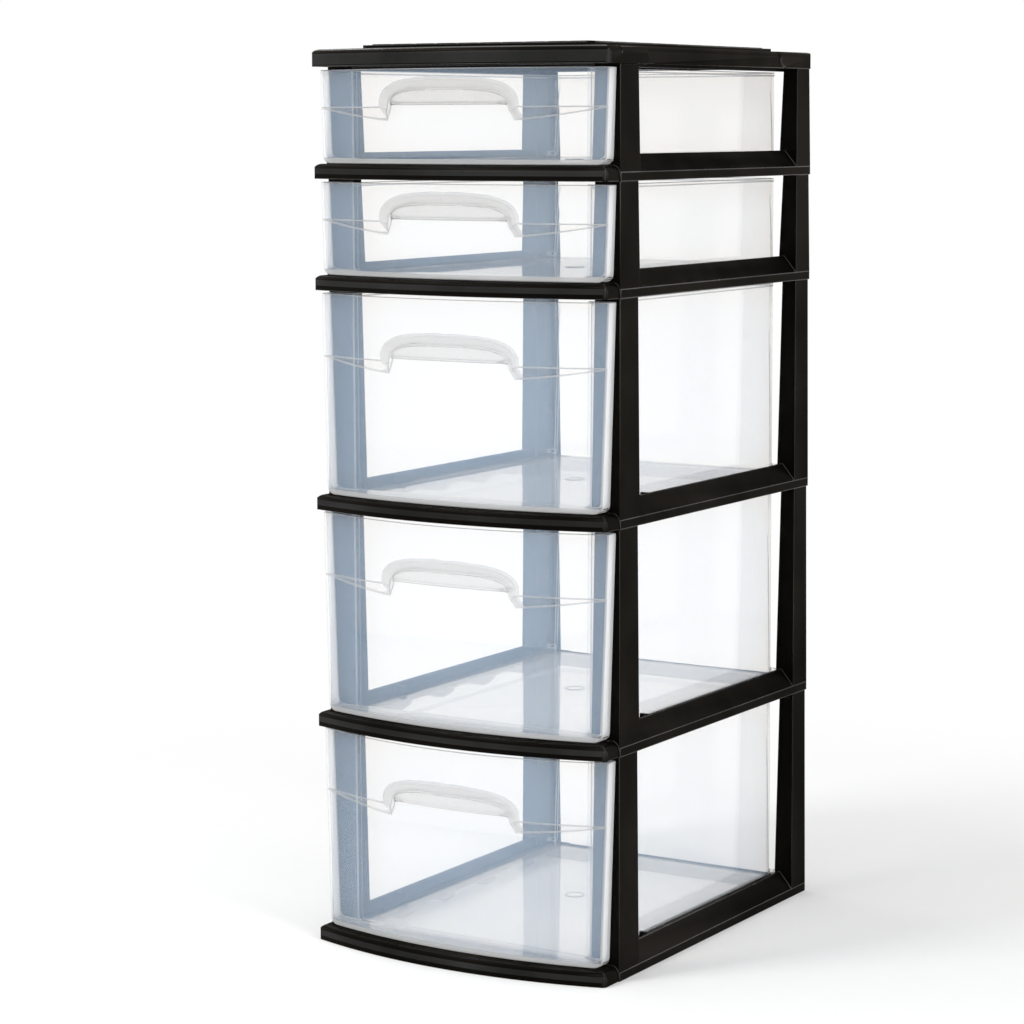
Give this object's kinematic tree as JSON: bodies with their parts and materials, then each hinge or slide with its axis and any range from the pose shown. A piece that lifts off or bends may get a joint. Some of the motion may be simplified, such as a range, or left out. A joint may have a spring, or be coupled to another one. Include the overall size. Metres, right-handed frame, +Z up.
{
  "type": "plastic drawer tower",
  "caption": "Tall free-standing drawer tower with stacked black open frames, a panelled cover and clear bow-fronted drawers that slide out by arched pulls.",
  "frame": {"origin": "middle of the bounding box's underside, on the floor", "axes": "+X to the part's right seen from its back, along its width; -Y out of the drawer fronts; +Z up"},
  "size_m": [0.321, 0.4306, 0.85],
  "materials": {
    "black_frame": "satin moulded black plastic",
    "clear_drawer": "clear, slightly milky moulded plastic"
  },
  "bodies": {
    "tower": {"top_cover": "black_frame", "frame_1": "black_frame", "frame_2": "black_frame", "frame_3": "black_frame", "frame_4": "black_frame", "frame_5": "black_frame"},
    "drawer_1": {"drawer_1": "clear_drawer"},
    "drawer_2": {"drawer_2": "clear_drawer"},
    "drawer_3": {"drawer_3": "clear_drawer"},
    "drawer_4": {"drawer_4": "clear_drawer"},
    "drawer_5": {"drawer_5": "clear_drawer"}
  },
  "joints": [
    {"name": "drawer_1_slide", "type": "slide", "parent": "tower", "child": "drawer_1", "axis": [0, -1, 0], "range_m": [0, 0.268]},
    {"name": "drawer_2_slide", "type": "slide", "parent": "tower", "child": "drawer_2", "axis": [0, -1, 0], "range_m": [0, 0.268]},
    {"name": "drawer_3_slide", "type": "slide", "parent": "tower", "child": "drawer_3", "axis": [0, -1, 0], "range_m": [0, 0.268]},
    {"name": "drawer_4_slide", "type": "slide", "parent": "tower", "child": "drawer_4", "axis": [0, -1, 0], "range_m": [0, 0.268]},
    {"name": "drawer_5_slide", "type": "slide", "parent": "tower", "child": "drawer_5", "axis": [0, -1, 0], "range_m": [0, 0.268]}
  ]
}
